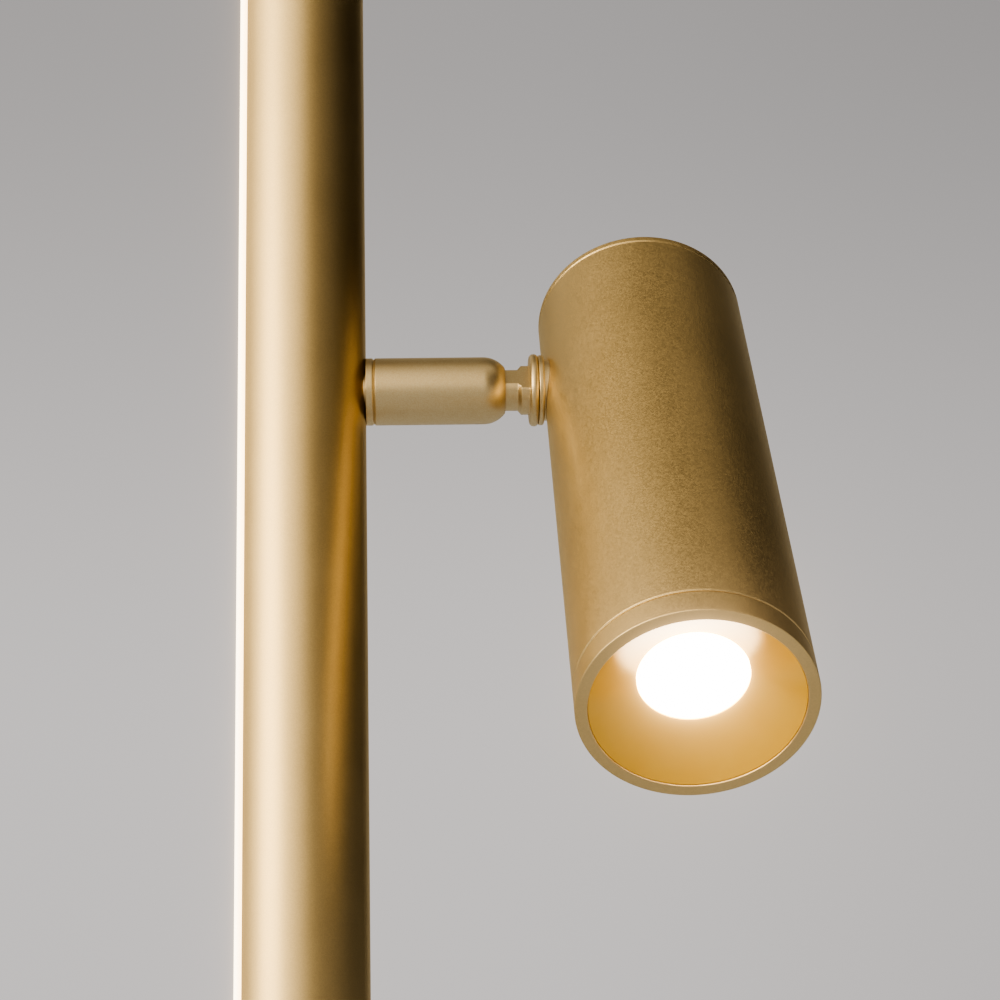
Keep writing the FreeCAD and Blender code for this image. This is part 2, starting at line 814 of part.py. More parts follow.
def make_spring():
    """Compression spring between the stop and the piston, wound as one unbroken wire."""
    turns = int(sheet.spring_turns)
    wire = float(sheet.spring_wire_radius)
    radius = float(sheet.spring_radius)
    clear = float(sheet.running_clearance)
    start = spring_bottom.value + wire + clear
    rise = (float(sheet.spring_length) - 2 * (wire + clear)) / turns
    helix = Part.makeHelix(rise, rise * turns, radius)
    section = Part.Wire([Part.makeCircle(wire, Vector(radius, 0, 0), Vector(0, 1, 0))])
    spring = doc.addObject("Part::Feature", "Spring")
    spring.Shape = helix.makePipeShell([section], True, True)
    spring.Placement = Placement(Vector(0, 0, start), UP)
    keep(spring, "tension_spring")

    first = [point for point in helix.discretize(Number=turns * 60) if point.z < rise]
    rest = [point for point in helix.discretize(Number=turns * 60) if rise * 0.75 < point.z < rise * 2]
    least = min((a - b).Length for a in first for b in rest if abs(b.z - a.z) > rise / 2)
    print(f"spring: {turns} turns, least gap between turns {least - 2 * wire:.2f} mm")


def make_end_bush():
    bore = s.rod_radius + s.running_clearance
    bush = turned("EndBush", [
        (bore, end_bush_bottom),
        (mast_bore - s.slip_clearance, end_bush_bottom),
        (mast_bore - s.slip_clearance, mast_top),
        (s.mast_radius, mast_top),
        (s.mast_radius, end_bush_top),
        (bore, end_bush_top),
    ])
    dress(bush, "Chamfer", s.end_bush_flange * LIGHT_EDGE, [(s.mast_radius, end_bush_top)])
    keep(on_floor(bush), "end_bush")


def make_plunger():
    rod_top = cup_bottom + s.cup_hub_height
    piston_radius = mast_bore - s.loose_clearance
    plunger = turned("Plunger", [
        (0, spring_top),
        (piston_radius, spring_top),
        (piston_radius, end_bush_bottom - s.running_clearance),
        (s.rod_radius, end_bush_bottom - s.running_clearance),
        (s.rod_radius, rod_top),
        (0, rod_top),
    ])
    drill(plunger, s.cup_screw_radius + s.thread_clearance, s.cup_screw_length,
          (0, 0, rod_top - s.cup_screw_length))
    keep(on_floor(plunger), "plunger")


def make_ceiling_cup():
    plate_bottom = cup_bottom + s.cup_hub_height
    cup = turned("CeilingCup", [
        (s.rod_radius + s.running_clearance, cup_bottom),
        (s.cup_hub_radius, cup_bottom),
        (s.cup_hub_radius, plate_bottom),
        (s.cup_radius, plate_bottom),
        (s.cup_radius, cup_top),
        (s.cup_screw_radius * 2 + s.loose_clearance, cup_top),
        (s.cup_screw_radius * 2 + s.loose_clearance, cup_top - s.cup_thickness / 2),
        (s.cup_screw_radius + s.loose_clearance, cup_top - s.cup_thickness / 2),
        (s.cup_screw_radius + s.loose_clearance, plate_bottom),
        (s.rod_radius + s.running_clearance, plate_bottom),
    ])
    dress(cup, "Chamfer", s.cup_edge, [(s.cup_radius, plate_bottom)])
    dress(cup, "Fillet", s.cup_edge, [(s.cup_hub_radius, plate_bottom)])
    keep(on_floor(cup), "ceiling_cup")

    head_bottom = cup_top - s.cup_thickness / 2
    head_top = cup_top - s.loose_clearance
    shank_end = plate_bottom - s.cup_screw_length + s.loose_clearance
    screw = turned("CupScrew", [
        (0, shank_end),
        (s.cup_screw_radius, shank_end),
        (s.cup_screw_radius, head_bottom),
        (s.cup_screw_radius * 2, head_bottom),
        (s.cup_screw_radius * 2, head_top),
        (0, head_top),
    ])
    keep(on_floor(screw), "cup_screw")

    pad = turned("CeilingPad", [
        (0, cup_top),
        (s.cup_radius - s.cup_edge, cup_top),
        (s.cup_radius - s.cup_edge, cup_top + s.ceiling_pad_thickness),
        (0, cup_top + s.ceiling_pad_thickness),
    ])
    dress(pad, "Fillet", s.ceiling_pad_thickness * SOFT_EDGE,
          [(s.cup_radius - s.cup_edge, cup_top + s.ceiling_pad_thickness)])
    keep(on_floor(pad), "ceiling_pad")


# ---------------------------------------------------------------- arm, its own Z along +X
def make_arm_base():
    """Root ring with a nipple through the pole's wall and a threaded spigot for the barrel."""
    base = turned("ArmBase", [
        (s.arm_nipple_bore, s.arm_nipple_inner_x),
        (s.arm_nipple_radius, s.arm_nipple_inner_x),
        (s.arm_nipple_radius, ring_x),
        (s.arm_radius, ring_x),
        (s.arm_radius, barrel_x),
        (s.arm_spigot_radius, barrel_x),
        (s.arm_spigot_radius, spigot_end_x),
        (s.arm_nipple_bore, spigot_end_x),
    ])
    dress(base, "Chamfer", s.arm_groove, [(s.arm_radius, barrel_x)])
    keep(on_arm(base), "arm_base")

    washer_end = leg(pole_bore, s.arm_washer_radius) - s.slip_clearance
    washer_start = washer_end - s.arm_washer_thickness
    hole = s.arm_nipple_radius + s.thread_clearance
    washer = ring("ArmWasher", hole, s.arm_washer_radius, washer_start, washer_end)
    keep(on_arm(washer), "arm_washer")

    nut_end = leg(pole_bore, s.arm_nut_radius) - s.slip_clearance
    nut_face = washer_start
    if nut_end.value < nut_face.value:
        nut_face = nut_end
    nut = hex_prism(s.arm_nut_radius, s.arm_nut_thickness,
                    (nut_face - s.arm_nut_thickness, 0, arm_height), ALONG_X)
    thread = cylinder(hole, s.pole_radius, (0, 0, arm_height), ALONG_X)
    keep(cut(nut, thread), "arm_nut")


def make_arm_barrel():
    """Socket barrel with a domed mouth, screwed onto the base against the root ring."""
    mouth = s.neck_radius + s.loose_clearance
    thread = s.arm_spigot_radius + s.thread_clearance
    barrel = turned("ArmBarrel", [
        (0, barrel_x),
        (s.arm_radius, barrel_x),
        (s.arm_radius, s.arm_reach),
        (0, s.arm_reach),
    ])
    dress(barrel, "Fillet", s.arm_dome_round, [(s.arm_radius, s.arm_reach)])
    dress(barrel, "Chamfer", s.arm_groove, [(s.arm_radius, barrel_x)])
    drill(barrel, thread, s.arm_spigot_length + s.slip_clearance, (0, 0, barrel_x))
    drill(barrel, s.arm_cavity_radius, s.arm_shoulder_x - spigot_end_x, (0, 0, spigot_end_x))
    drill(barrel, mouth, s.arm_reach - s.arm_shoulder_x + PAST, (0, 0, s.arm_shoulder_x))
    keep(on_arm(barrel), "arm_barrel")


def make_swivel_stack():
    """What grips the stud inside the barrel: a thrust sleeve, sprung washers and a friction washer."""
    outer = s.arm_cavity_radius - s.slip_clearance * 2
    inner = s.arm_nipple_radius
    stack = s.spring_washer_thickness + s.spring_washer_rise
    springs_start = stud_flange_start - s.slip_clearance - 2 * stack
    thrust = ring("ThrustSleeve", inner, outer, spigot_end_x + s.running_clearance,
                  springs_start - s.running_clearance)
    keep(on_arm(thrust), "thrust_sleeve")

    cones = []
    for index, flip in enumerate((False, True)):
        low = springs_start + stack * index + s.running_clearance / 2
        near, far = (s.spring_washer_rise, 0) if flip else (0, s.spring_washer_rise)
        thick = s.spring_washer_thickness
        cone = turned(f"SpringWasher{index + 1}", [
            (inner, low + near),
            (outer, low + far),
            (outer, low + far + thick - s.running_clearance),
            (inner, low + near + thick - s.running_clearance),
        ])
        cones.append(on_arm(cone))
    keep(group(cones), "spring_washers")

    low = stud_flange_end + s.slip_clearance / 2
    pad = ring("FrictionWasher", s.neck_radius + s.slip_clearance, outer,
               low, low + s.friction_washer_thickness)
    keep(on_arm(pad), "friction_washer")


# ---------------------------------------------------------------- stud and head seat, Z along +X
def make_stud():
    """Swivel stud: flange in the barrel, neck and collar with two spanner flats, disc and thread."""
    thread_end = head_x - s.stud_thread_end
    disc_end = jam_ring_x
    stud = turned("SwivelStud", [
        (s.stud_bore, stud_flange_start),
        (s.stud_flange_radius, stud_flange_start),
        (s.stud_flange_radius, stud_flange_end),
        (s.neck_radius, stud_flange_end),
        (s.neck_radius, s.collar_x),
        (s.stud_collar_radius, s.collar_x),
        (s.stud_collar_radius, s.disc_x),
        (s.disc_radius, s.disc_x),
        (s.disc_radius, disc_end),
        (s.arm_nipple_radius, disc_end),
        (s.arm_nipple_radius, thread_end),
        (s.stud_bore, thread_end),
    ])
    dress(stud, "Fillet", s.disc_round, [(s.disc_radius, s.disc_x), (s.disc_radius, disc_end)])
    flat_start = s.arm_reach - s.stud_flat_behind_mouth
    for side in (1, -1):
        corner_x = s.stud_flat if side > 0 else -(s.stud_flat + s.disc_radius)
        mill(stud, (s.disc_radius, s.disc_radius * 2, s.disc_x - flat_start),
             (corner_x, -s.disc_radius, flat_start))
    # The body's X points down once it lies on the arm, so this roll faces a flat to -Y and up.
    keep(on_arm(stud, roll=-(90.0 + s.stud_flat_turn.value)), "swivel_stud")

    hole = s.arm_nipple_radius + s.thread_clearance
    jam = ring("JamRing", hole, s.jam_ring_radius, jam_ring_x, saddle_x)
    dress(jam, "Chamfer", s.jam_ring_edge, [(s.jam_ring_radius, jam_ring_x), (s.jam_ring_radius, saddle_x)])
    keep(on_arm(jam), "jam_ring")


def make_saddles():
    """Saddle spacers in the head's frame: one outside the shell and one inside, under the nut."""
    hole = s.arm_nipple_radius + s.slip_clearance
    outer_face = s.head_radius + s.saddle_least
    reach = s.saddle_least + s.head_radius - leg(s.head_radius, s.saddle_radius)
    tall = s.saddle_radius * 4
    blank = cylinder(s.saddle_radius, reach, (-outer_face, 0, 0), ALONG_X)
    shell = cylinder(s.head_radius + s.running_clearance, tall, (0, 0, -(tall / 2)))
    bore = cylinder(hole, reach + PAST * 2, (-outer_face - PAST, 0, 0), ALONG_X)
    keep(in_head(cut(blank, shell, bore)), "saddle_spacer")

    block = cylinder(s.inner_saddle_radius, head_bore - s.inner_saddle_x, (-head_bore, 0, 0), ALONG_X)
    inside = cylinder(head_bore - s.running_clearance, tall, (0, 0, -(tall / 2)))
    hole_in = cylinder(hole, head_bore, (-head_bore, 0, 0), ALONG_X)
    keep(in_head(cut(common(block, inside), hole_in)), "inner_saddle")

    nut = hex_prism(s.head_nut_radius, s.head_nut_thickness, (-s.inner_saddle_x, 0, 0), ALONG_X)
    thread = cylinder(s.arm_nipple_radius + s.thread_clearance, s.inner_saddle_x, (-s.inner_saddle_x, 0, 0),
                      ALONG_X)
    keep(in_head(cut(nut, thread)), "head_nut")


# ---------------------------------------------------------------- spot head, in its own frame
def make_head_shell():
    low = from_front(s.bezel_band)
    high = s.head_rear - s.rear_cap_band
    shell = turned("HeadShell", [
        (head_bore, low),
        (s.head_radius, low),
        (s.head_radius, high),
        (head_bore, high),
    ])
    dress(shell, "Chamfer", s.seam_edge, [(s.head_radius, low), (s.head_radius, high)])
    drill(shell, s.arm_nipple_radius + s.slip_clearance, s.head_radius * 1.2, (0, 0, 0),
          Rotation(Vector(0, 1, 0), -90))
    keep(in_head(shell), "head_shell")


def make_rear_cap():
    seam = s.head_rear - s.rear_cap_band
    outer = head_bore - s.slip_clearance
    inner = outer - s.head_wall
    cap = turned("RearCap", [
        (0, seam),
        (inner, seam),
        (inner, seam - s.rear_cap_spigot),
        (outer, seam - s.rear_cap_spigot),
        (outer, seam),
        (s.head_radius, seam),
        (s.head_radius, s.head_rear),
        (0, s.head_rear),
    ])
    dress(cap, "Fillet", s.rear_cap_edge, [(s.head_radius, s.head_rear)])
    dress(cap, "Chamfer", s.seam_edge, [(s.head_radius, seam)])
    keep(in_head(cap), "rear_cap")


def make_front_bezel():
    front = from_front(as_size(0))
    seam = from_front(s.bezel_band)
    outer = head_bore - s.slip_clearance
    inner = outer - s.bezel_spigot_wall
    lip = from_front(s.bezel_lip_depth)
    end = seam + s.bezel_spigot_length
    bezel = turned("FrontBezel", [
        (s.bezel_lip_radius, front),
        (s.head_radius, front),
        (s.head_radius, seam),
        (outer, seam),
        (outer, end),
        (inner, end),
        (inner, lip),
        (s.bezel_lip_radius, lip),
    ])
    dress(bezel, "Chamfer", s.rim_edge, [(s.head_radius, front), (s.bezel_lip_radius, front)])
    dress(bezel, "Chamfer", s.seam_edge, [(s.head_radius, seam)])
    keep(in_head(bezel), "front_bezel")


def make_reflector():
    """Shallow gold cone from just inside the rim down to the lens, with a collar that stands on the board."""
    rim = head_bore - s.slip_clearance - s.bezel_spigot_wall - s.slip_clearance
    throat = s.lens_radius + s.slip_clearance
    face = s.bezel_lip_depth + s.slip_clearance
    back_radius = throat + s.reflector_wall
    cone = turned("Reflector", [
        (s.reflector_mouth_radius, from_front(face)),
        (rim, from_front(face)),
        (rim, from_front(face + s.reflector_wall)),
        (back_radius, from_front(s.lens_depth + s.reflector_wall / 2)),
        (back_radius, from_front(board_depth)),
        (throat, from_front(board_depth)),
        (throat, from_front(s.lens_depth - s.slip_clearance)),
    ])
    keep(in_head(cone), "reflector")


def make_lens():
    low = s.lens_depth
    high = s.lens_depth + s.lens_thickness
    lens = turned("Lens", [
        (0, from_front(low)),
        (s.lens_radius, from_front(low)),
        (s.lens_radius, from_front(high)),
        (0, from_front(high)),
    ])
    dress(lens, "Fillet", s.lens_thickness * LIGHT_EDGE, [(s.lens_radius, from_front(low))])
    keep(in_head(lens), "lens")
    spacer = ring("LensRing", s.lens_radius - s.lens_ring_width, s.lens_radius,
                  from_front(high), from_front(board_depth))
    keep(in_head(spacer), "lens_ring")


def make_led_board():
    """Round metal board with the light-emitting patch on its front and two screw holes."""
    board = turned("LedBoard", [
        (0, from_front(board_depth - s.chip_thickness)),
        (s.lens_radius / 2, from_front(board_depth - s.chip_thickness)),
        (s.lens_radius / 2, from_front(board_depth)),
        (s.led_board_radius, from_front(board_depth)),
        (s.led_board_radius, from_front(sink_depth)),
        (0, from_front(sink_depth)),
    ])
    hole = drill(board, s.board_screw_radius + s.slip_clearance, s.led_board_thickness + PAST * 2,
                 (s.board_screw_circle, 0, from_front(board_depth - PAST)))
    repeat(board, hole, 2)
    keep(in_head(board), "led_board")

    screws = []
    for side in (1, -1):
        head = cylinder(s.board_screw_head_radius, s.board_screw_head_height,
                        (s.board_screw_circle * side, 0,
                         from_front(board_depth - s.board_screw_head_height)))
        shank = cylinder(s.board_screw_radius, s.led_board_thickness + s.board_screw_length,
                         (s.board_screw_circle * side, 0, from_front(board_depth)))
        screws.append(fuse(head, shank))
    keep(in_head(group(screws)), "board_screws")


def make_heat_sink():
    """Finned sink: a round base behind the board, a bored core and fins along the head."""
    outer = head_bore - s.loose_clearance
    low = from_front(sink_depth)
    sink = turned("HeatSink", [
        (s.sink_bore, low),
        (outer, low),
        (outer, low + s.sink_base),
        (s.sink_core_radius, low + s.sink_base),
        (s.sink_core_radius, low + s.sink_length),
        (s.sink_bore, low + s.sink_length),
    ])
    fin = sink.newObject("PartDesign::AdditiveBox", "Fin")
    root = s.sink_core_radius - s.fin_thickness / 2
    bind(fin, Length=leg(outer, s.fin_thickness / 2) - root, Width=s.fin_thickness,
         Height=s.sink_length - s.sink_base / 2)
    put(fin, (root, -(s.fin_thickness / 2), low + s.sink_base / 2))
    doc.recompute()
    repeat(sink, fin, s.fin_count)
    hole = drill(sink, s.board_screw_radius + s.thread_clearance, s.board_screw_length + s.loose_clearance,
                 (s.board_screw_circle, 0, low))
    repeat(sink, hole, 2)
    keep(in_head(sink), "heat_sink")


def make_head_wire():
    """Lead from the stud's bore, round one bend and down the heat sink's core to the board."""
    bend = s.wire_bend_radius
    start = head_x - stud_flange_start
    end = from_front(sink_depth + s.slip_clearance)
    run = cylinder(s.wire_radius, start - bend, (-start, 0, 0), ALONG_X)
    corner = doc.addObject("Part::Torus", "Bend")
    bind(corner, Radius1=bend, Radius2=s.wire_radius)
    corner.Angle3 = 90
    put(corner, (-bend, 0, -bend), Rotation(Vector(1, 0, 0), 90))
    drop = cylinder(s.wire_radius, -end - bend, (0, 0, end))
    keep(in_head(fuse(run, corner, drop)), "head_wire")


make_floor_pad()
make_foot_plate()
make_foot_spigot()
make_foot_screw()
make_light_tube()
make_diffuser()
make_strip_board()
make_strip_leds()
make_cord_gland()
make_driver()
make_pole_wire()
make_button_bezel()
make_switch()
make_coupling()
make_sleeve_tube()
make_lock()
make_mast()
make_spring_stop()
make_spring()
make_end_bush()
make_plunger()
make_ceiling_cup()
make_arm_base()
make_arm_barrel()
make_swivel_stack()
make_stud()
make_saddles()
make_head_shell()
make_rear_cap()
make_front_bezel()
make_reflector()
make_lens()
make_led_board()
make_heat_sink()
make_head_wire()

# ---------------------------------------------------------------- check and write
doc.recompute()
for item in doc.Objects:
    if "Invalid" in item.State or "Error" in item.State:
        raise RuntimeError(f"{item.Name} ({item.Label}) failed: {item.State}")
for piece in PARTS:
    if piece.Shape.isNull() or not piece.Shape.isValid():
        raise RuntimeError(f"{piece.Label} has no valid shape")

os.makedirs("parts", exist_ok=True)
for piece in PARTS:
    piece.Shape.exportStep(f"parts/{piece.Label}.step")
print(f"{len(PARTS)} sub-parts, total height {(cup_top + s.ceiling_pad_thickness).value:.1f} mm")
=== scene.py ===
import json
import math

import bmesh
import bpy
from mathutils import Matrix, Vector


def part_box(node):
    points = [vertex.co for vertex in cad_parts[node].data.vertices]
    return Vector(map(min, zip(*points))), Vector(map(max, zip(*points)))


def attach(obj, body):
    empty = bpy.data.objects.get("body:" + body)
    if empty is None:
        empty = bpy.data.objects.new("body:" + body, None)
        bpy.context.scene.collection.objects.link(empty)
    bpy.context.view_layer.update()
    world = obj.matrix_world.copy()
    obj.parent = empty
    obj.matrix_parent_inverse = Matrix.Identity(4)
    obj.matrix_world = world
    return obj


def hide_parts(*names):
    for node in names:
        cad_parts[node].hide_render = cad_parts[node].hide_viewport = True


# Looks of the tension pole lamp: satin gold paint, the lit opal line and the lit spot head.
# Lengths are written in millimetres and turned into metres by MM. Angles are in degrees.

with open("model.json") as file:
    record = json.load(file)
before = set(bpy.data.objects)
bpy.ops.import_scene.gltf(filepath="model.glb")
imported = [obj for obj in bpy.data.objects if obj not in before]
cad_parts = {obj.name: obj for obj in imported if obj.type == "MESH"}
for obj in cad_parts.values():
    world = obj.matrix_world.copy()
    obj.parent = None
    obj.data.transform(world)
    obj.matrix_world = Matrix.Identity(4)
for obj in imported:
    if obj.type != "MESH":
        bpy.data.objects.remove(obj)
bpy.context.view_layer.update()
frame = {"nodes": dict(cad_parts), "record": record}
MM = 0.001

scene = bpy.context.scene


# ---------------------------------------------------------------- frames of the pole, arm and head
def axis_box(node):
    """Middle and half size of a node's box."""
    low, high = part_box(node)
    return (low + high) / 2, (high - low) / 2


ARM_HEIGHT = axis_box("arm_barrel")[0].z
HEAD_AXIS_X = axis_box("head_shell")[0].x
HEAD_PITCH = 37.35

POLE = Matrix.Identity(4)
ARM = Matrix.Translation((0, 0, ARM_HEIGHT)) @ Matrix.Rotation(math.radians(90), 4, "Y")
HEAD_TILT = Matrix.Rotation(math.radians(-HEAD_PITCH), 4, "X")
HEAD = Matrix.Translation((HEAD_AXIS_X, 0, ARM_HEIGHT)) @ HEAD_TILT


def reach_of(node, place):
    """A node's outer radius about a frame's axis, and its start and end along it, in millimetres."""
    inward = place.inverted()
    points = [inward @ vertex.co for vertex in frame["nodes"][node].data.vertices]
    radius = max(math.hypot(point.x, point.y) for point in points)
    heights = [point.z for point in points]
    return radius / MM, min(heights) / MM, max(heights) / MM


# ---------------------------------------------------------------- shader building
class Value:
    """A socket that takes part in plain arithmetic."""

    def __init__(self, shader, socket):
        self.shader = shader
        self.socket = socket

    def maths(self, operation, first, second):
        return self.shader.node("ShaderNodeMath", {"operation": operation}, {0: first, 1: second})

    def __add__(self, other):
        return self.maths("ADD", self, other)

    def __radd__(self, other):
        return self.maths("ADD", other, self)

    def __sub__(self, other):
        return self.maths("SUBTRACT", self, other)

    def __rsub__(self, other):
        return self.maths("SUBTRACT", other, self)

    def __mul__(self, other):
        return self.maths("MULTIPLY", self, other)

    def __truediv__(self, other):
        return self.maths("DIVIDE", self, other)

    def __abs__(self):
        return self.maths("ABSOLUTE", self, 0)


# The Mix node names its sockets alike for every data type, so its colours go by number.
FIRST_COLOUR, SECOND_COLOUR, MIXED_COLOUR = 6, 7, 2


class Shader:
    """A node tree that is filled one node at a time."""

    def __init__(self, owner):
        owner.use_nodes = True
        self.owner = owner
        self.tree = owner.node_tree
        self.tree.nodes.clear()

    def node(self, kind, settings=None, inputs=None, output=0):
        """Add a node. Settings come first, then the values or links of its sockets."""
        made = self.tree.nodes.new(kind)
        for name, value in (settings or {}).items():
            setattr(made, name, value)
        for name, value in (inputs or {}).items():
            if isinstance(value, Value):
                self.tree.links.new(value.socket, made.inputs[name])
            else:
                made.inputs[name].default_value = value
        return Value(self, made.outputs[output]) if made.outputs else None

    def place(self):
        """Where a point lies on its piece, in metres in the lamp's own frame."""
        return self.node("ShaderNodeTexCoord", output="Object")

    def parts(self, vector):
        """The three numbers of a vector."""
        split = self.node("ShaderNodeSeparateXYZ", inputs={0: vector}).socket.node
        return [Value(self, socket) for socket in split.outputs]

    def stretched(self, vector, scale):
        return self.node("ShaderNodeVectorMath", {"operation": "MULTIPLY"}, {0: vector, 1: scale})

    def scaled(self, vector, amount):
        return self.node("ShaderNodeVectorMath", {"operation": "SCALE"}, {0: vector, "Scale": amount})

    def noise(self, vector, size, detail=2.0, roughness=0.5):
        """Soft noise from 0 to 1 whose patches are about size metres."""
        inputs = {"Vector": vector, "Scale": 1.0 / size, "Detail": detail, "Roughness": roughness}
        return self.node("ShaderNodeTexNoise", {"noise_dimensions": "3D"}, inputs, "Fac")

    def flakes(self, vector, size):
        """A random number from 0 to 1 for each cell of about size metres."""
        inputs = {"Vector": vector, "Scale": 1.0 / size}
        colour = self.node("ShaderNodeTexVoronoi", {"feature": "F1"}, inputs, "Color")
        return self.parts(colour)[0]

    def fade(self, value, low, high):
        """0 below low, 1 above high, and smooth in between."""
        settings = {"interpolation_type": "SMOOTHSTEP", "clamp": True}
        inputs = {"Value": value, "From Min": low, "From Max": high}
        return self.node("ShaderNodeMapRange", settings, inputs)

    def mix(self, amount, first, second, blend="MIX"):
        """Mix two colours."""
        settings = {"data_type": "RGBA", "blend_type": blend}
        colours = [value if isinstance(value, Value) else (*value, 1.0) for value in (first, second)]
        inputs = {"Factor": amount, FIRST_COLOUR: colours[0], SECOND_COLOUR: colours[1]}
        return self.node("ShaderNodeMix", settings, inputs, MIXED_COLOUR)

    def bump(self, height, distance):
        return self.node("ShaderNodeBump", {}, {"Height": height, "Distance": distance})

    def surface(self, **inputs):
        """The finish itself. Names of sockets are given with underscores."""
        named = {name.replace("_", " "): value for name, value in inputs.items()}
        for name in ("Base Color", "Emission Color"):
            if name in named and not isinstance(named[name], Value):
                named[name] = (*named[name], 1.0)
        shaded = self.node("ShaderNodeBsdfPrincipled", {}, named)
        self.node("ShaderNodeOutputMaterial", {}, {"Surface": shaded})
        return self.owner


def finish(name):
    return Shader(bpy.data.materials.new(name))


# ---------------------------------------------------------------- finishes
GOLD = (0.83, 0.66, 0.40)
GOLD_DEEP = (0.77, 0.605, 0.355)
GOLD_PALE = (0.85, 0.72, 0.52)
GOLD_WARM = (0.80, 0.645, 0.42)


def gold_paint(name, colour, deep, rough, flake, grain, sparkle):
    """Satin gold paint: fine flakes in a clear binder, with the faint unevenness of a sprayed coat."""
    paint = finish(name)
    place = paint.place()
    cloud = paint.noise(place, 18 * MM, 3.0)
    flakes = paint.flakes(place, flake)
    peel = paint.noise(place, 0.9 * MM, 2.0)
    fine = paint.noise(place, flake, 1.0)
    tone = paint.fade(cloud * 0.55 + flakes * 0.45, 0.25, 0.75)
    return paint.surface(
        Base_Color=paint.mix(tone, deep, colour),
        Metallic=1.0,
        Roughness=rough - 0.04 + cloud * 0.05 + flakes * sparkle,
        Coat_Weight=0.35,
        Coat_Roughness=0.2,
        Normal=paint.bump(peel * 0.6 + fine * 0.4, grain),
    )


def reflector_gold(name):
    """Smooth gold inside of the cone, which spreads the lens's light."""
    metal = finish(name)
    place = metal.place()
    cloud = metal.noise(place, 9 * MM, 2.0)
    fine = metal.noise(place, 0.5 * MM, 1.0)
    return metal.surface(
        Base_Color=metal.mix(cloud, (0.90, 0.53, 0.10), (0.94, 0.59, 0.14)),
        Metallic=0.2,
        Roughness=0.16 + cloud * 0.05,
        Normal=metal.bump(fine, 0.003 * MM),
    )


STRIP_GLOW = 2.0
LENS_GLOW = 3.8


def lit_strip(name):
    """Opal cover over a row of chips: nearly even, with a painted warm glow towards its two edges that
    stands in for the strip's light spilling onto the gold channel beside it.
    """
    opal = finish(name)
    place = opal.place()
    across, along = opal.parts(place)[1:]
    half = axis_box("strip_diffuser")[1].y
    # Painted light: towards both edges of the cover the glow turns warm orange, standing in for the
    # strip's light falling on the gold channel's edge.
    edge = opal.fade(abs(across) / half, 0.55, 1.0)
    chip_pitch = 25 * MM
    wave = opal.node("ShaderNodeMath", {"operation": "SINE"}, {0: along * (2 * math.pi / chip_pitch)})
    milk = opal.noise(place, 4 * MM, 2.0)
    # Painted light: the warm orange used at the edges is the strip's spilled light on the channel, not a
    # colour of the cover.
    glow = opal.mix(edge, (1.0, 0.87, 0.66), (1.0, 0.68, 0.38))
    dimmed = opal.mix(1.0, glow, (0.86, 0.86, 0.86), "MULTIPLY")
    glow = opal.mix(0.5 + wave * 0.06 + milk * 0.04, dimmed, glow)
    return opal.surface(
        Base_Color=(0.88, 0.86, 0.80),
        Roughness=0.42 + milk * 0.08,
        Emission_Color=glow,
        Emission_Strength=STRIP_GLOW,
        Normal=opal.bump(milk, 0.01 * MM),
    )


def lit_lens(name):
    """Opal lens over the chip board, brightest in the middle."""
    opal = finish(name)
    place = opal.place()
    centre = HEAD @ Vector((0, 0, reach_of("lens", HEAD)[1] * MM))
    away = opal.node("ShaderNodeVectorMath", {"operation": "DISTANCE"}, {0: place, 1: centre}, "Value")
    rim = opal.fade(away, 9 * MM, 14 * MM)
    milk = opal.noise(place, 3 * MM, 2.0)
    glow = opal.mix(rim, (1.0, 0.93, 0.82), (1.0, 0.86, 0.66))
    return opal.surface(
        Base_Color=(0.92, 0.90, 0.86),
        Roughness=0.30 + milk * 0.06,
        Emission_Color=glow,
        Emission_Strength=LENS_GLOW,
    )


def plain_steel(name):
    """Bright drawn steel with fine scratches along its length."""
    steel = finish(name)
    drawn = steel.stretched(steel.place(), (1.0, 1.0, 0.06))
    scratch = steel.noise(drawn, 0.6 * MM, 4.0, 0.7)
    cloud = steel.noise(steel.place(), 12 * MM, 2.0)
    return steel.surface(
        Base_Color=steel.mix(cloud, (0.52, 0.52, 0.53), (0.66, 0.66, 0.66)),
        Metallic=1.0,
        Roughness=0.24 + scratch * 0.18,
        Normal=steel.bump(scratch, 0.01 * MM),
    )


def turned_brass(name):
    brass = finish(name)
    place = brass.place()
    cloud = brass.noise(place, 6 * MM, 3.0)
    cuts = brass.noise(brass.stretched(place, (6.0, 0.4, 0.4)), 0.8 * MM, 3.0)
    return brass.surface(
        Base_Color=brass.mix(cloud, (0.60, 0.42, 0.16), (0.78, 0.60, 0.28)),
        Metallic=1.0,
        Roughness=0.26 + cuts * 0.16,
        Normal=brass.bump(cuts, 0.01 * MM),
    )


def bare_aluminium(name):
    metal = finish(name)
    place = metal.place()
    lines = metal.noise(metal.stretched(place, (1.0, 1.0, 0.05)), 0.5 * MM, 3.0)
    cloud = metal.noise(place, 10 * MM, 2.0)
    return metal.surface(
        Base_Color=metal.mix(cloud, (0.50, 0.51, 0.53), (0.64, 0.65, 0.67)),
        Metallic=1.0,
        Roughness=0.36 + lines * 0.18,
        Normal=metal.bump(lines, 0.01 * MM),
    )


def soft_rubber(name):
    rubber = finish(name)
    place = rubber.place()
    grain = rubber.noise(place, 0.5 * MM, 4.0, 0.6)
    dust = rubber.noise(place, 14 * MM, 4.0)
    return rubber.surface(
        Base_Color=rubber.mix(dust, (0.018, 0.018, 0.019), (0.045, 0.044, 0.042)),
        Roughness=0.72 + grain * 0.18,
        Specular_IOR_Level=0.35,
        Normal=rubber.bump(grain, 0.06 * MM),
    )


def moulded(name, dark, light, rough, grain_size=0.4):
    """Moulded plastic with a fine spark-eroded grain."""
    plastic = finish(name)
    place = plastic.place()
    grain = plastic.noise(place, grain_size * MM, 3.0)
    cloud = plastic.noise(place, 9 * MM, 2.0)
    return plastic.surface(
        Base_Color=plastic.mix(cloud, dark, light),
        Roughness=rough - 0.06 + grain * 0.12,
        Normal=plastic.bump(grain, 0.02 * MM),
    )


